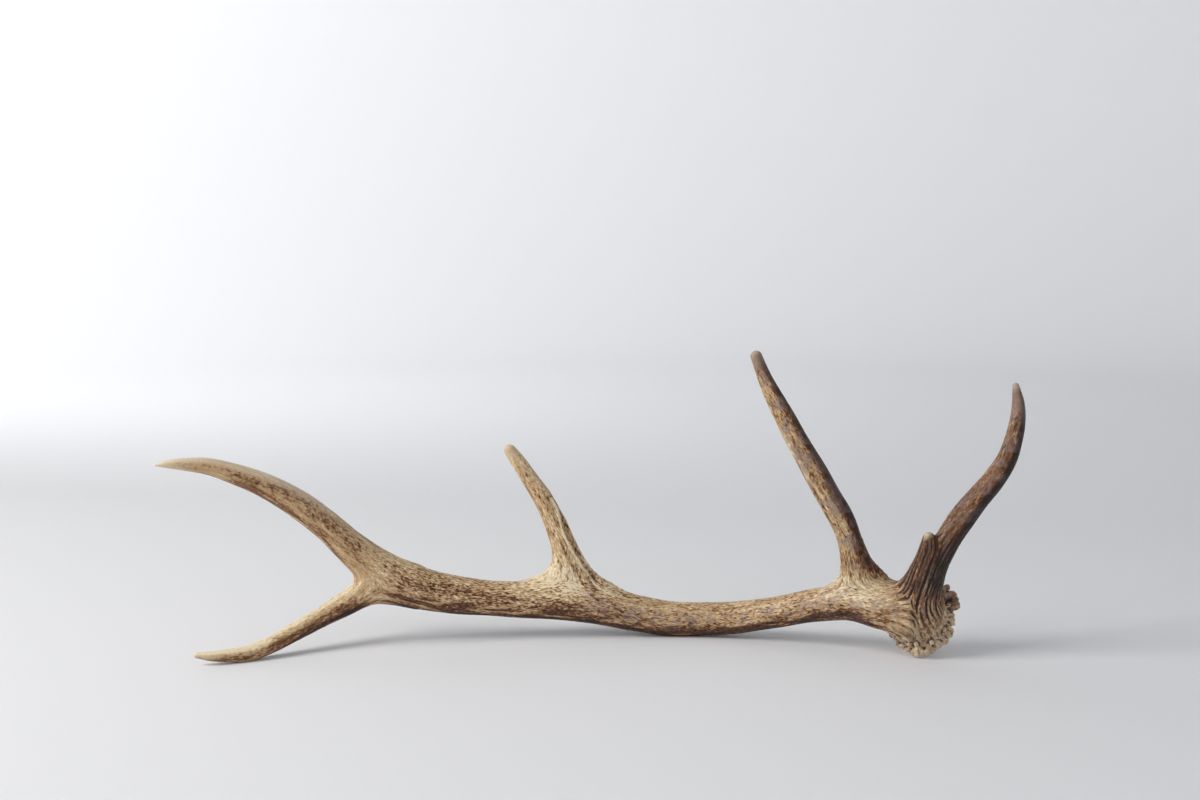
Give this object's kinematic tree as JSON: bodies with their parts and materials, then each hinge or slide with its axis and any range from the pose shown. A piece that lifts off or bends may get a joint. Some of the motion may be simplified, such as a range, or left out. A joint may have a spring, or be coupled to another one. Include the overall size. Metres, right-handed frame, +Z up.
{
  "type": "deer antler",
  "caption": "Shed red deer antler lying at rest: a bowed, forked bone beam with a knobbly burr at its base, side tines along it and a forked crown at its end.",
  "frame": {"origin": "centre of the bounding box in X and Y, on the surface that the antler lies on", "axes": "+Z up as it lies; X along its length, +X towards the burr; +Y towards the side that the beam bows to"},
  "size_m": [0.8791, 0.143, 0.3135],
  "materials": {
    "burr_base": "satin bone, knobbly",
    "brow_tine": "satin bone, furrowed",
    "beam_lower": "satin bone",
    "bez_tine": "satin bone",
    "beam_middle": "satin bone",
    "trez_tine": "satin bone",
    "beam_upper": "satin bone",
    "crown_top_tine": "satin bone, smooth",
    "crown_low_tine": "satin bone, smooth"
  },
  "bodies": {
    "root": {"burr_base": "burr_base", "brow_tine": "brow_tine", "beam_lower": "beam_lower", "bez_tine": "bez_tine", "beam_middle": "beam_middle", "trez_tine": "trez_tine", "beam_upper": "beam_upper", "crown_top_tine": "crown_top_tine", "crown_low_tine": "crown_low_tine"}
  },
  "joints": []
}
